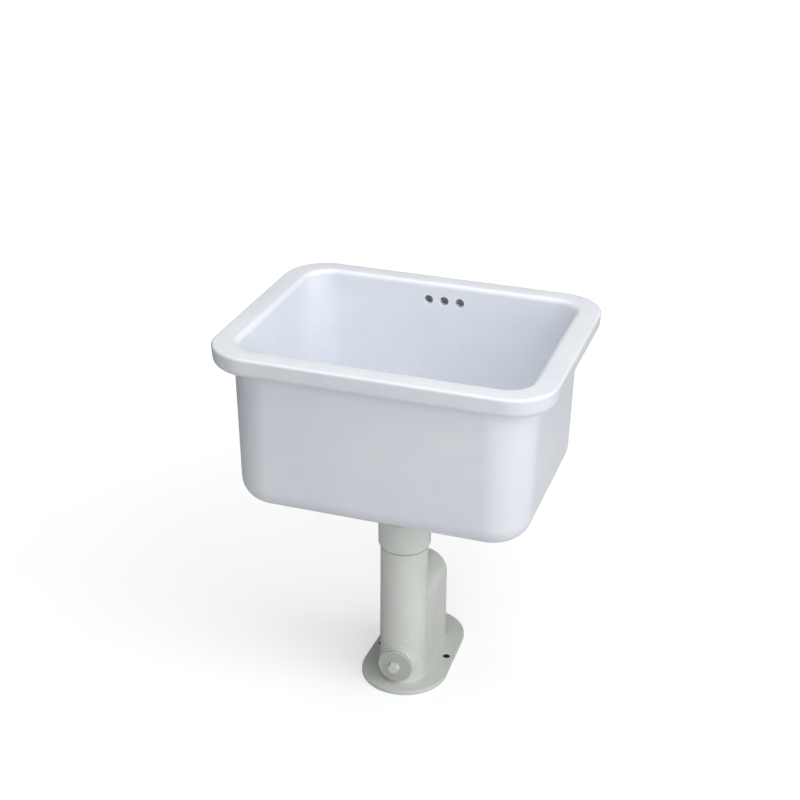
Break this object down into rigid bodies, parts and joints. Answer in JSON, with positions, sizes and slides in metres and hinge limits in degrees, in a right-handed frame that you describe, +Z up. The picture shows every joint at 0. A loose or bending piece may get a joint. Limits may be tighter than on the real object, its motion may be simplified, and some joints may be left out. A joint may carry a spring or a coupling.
{
  "type": "mop sink",
  "caption": "Deep vitreous china mop sink with a wide rim and overflow, standing on an enamelled cast iron floor trap with a cleanout plug.",
  "frame": {"origin": "on the floor, under the middle of the basin's rim", "axes": "+Z up, +X to the right and +Y towards the wall, seen from the front where the cleanout plug is"},
  "size_m": [0.51, 0.4, 0.611],
  "materials": {
    "vitreous_china": "vitreous china, white glaze",
    "enamelled_iron": "cast iron under pale grey enamel paint",
    "plated_brass": "brass, nickel and chromium plated",
    "rubber": "black EPDM"
  },
  "bodies": {
    "root": {"basin": "vitreous_china", "waste_body": "plated_brass", "waste_seal": "rubber", "lower_seal": "rubber", "tailpiece": "enamelled_iron", "packing_ring": "rubber", "inlet_collar": "enamelled_iron", "collar_seal": "rubber", "trap_body": "enamelled_iron", "outlet_seal": "rubber"},
    "strainer": {"strainer_grate": "plated_brass", "strainer_knob": "plated_brass"},
    "plug_seal": {"cleanout_seal": "rubber"},
    "plug": {"cleanout_plug": "enamelled_iron"}
  },
  "joints": [
    {"name": "strainer_lift", "type": "slide", "parent": "root", "child": "strainer", "axis": [0, 0, 1], "range_m": [0, 0.26]},
    {"name": "cleanout_travel", "type": "slide", "parent": "root", "child": "plug_seal", "axis": [0, -1, 0], "range_m": [0, 0.0116]},
    {"name": "cleanout_turn", "type": "hinge", "parent": "plug_seal", "child": "plug", "pos_m": [0, -0.0605, 0.042], "axis": [0, -1, 0], "range_deg": [0, 1800]}
  ],
  "couplings": [
    {"joint": "cleanout_travel", "follows": "cleanout_turn", "m_per_rad": 0.00036749}
  ]
}
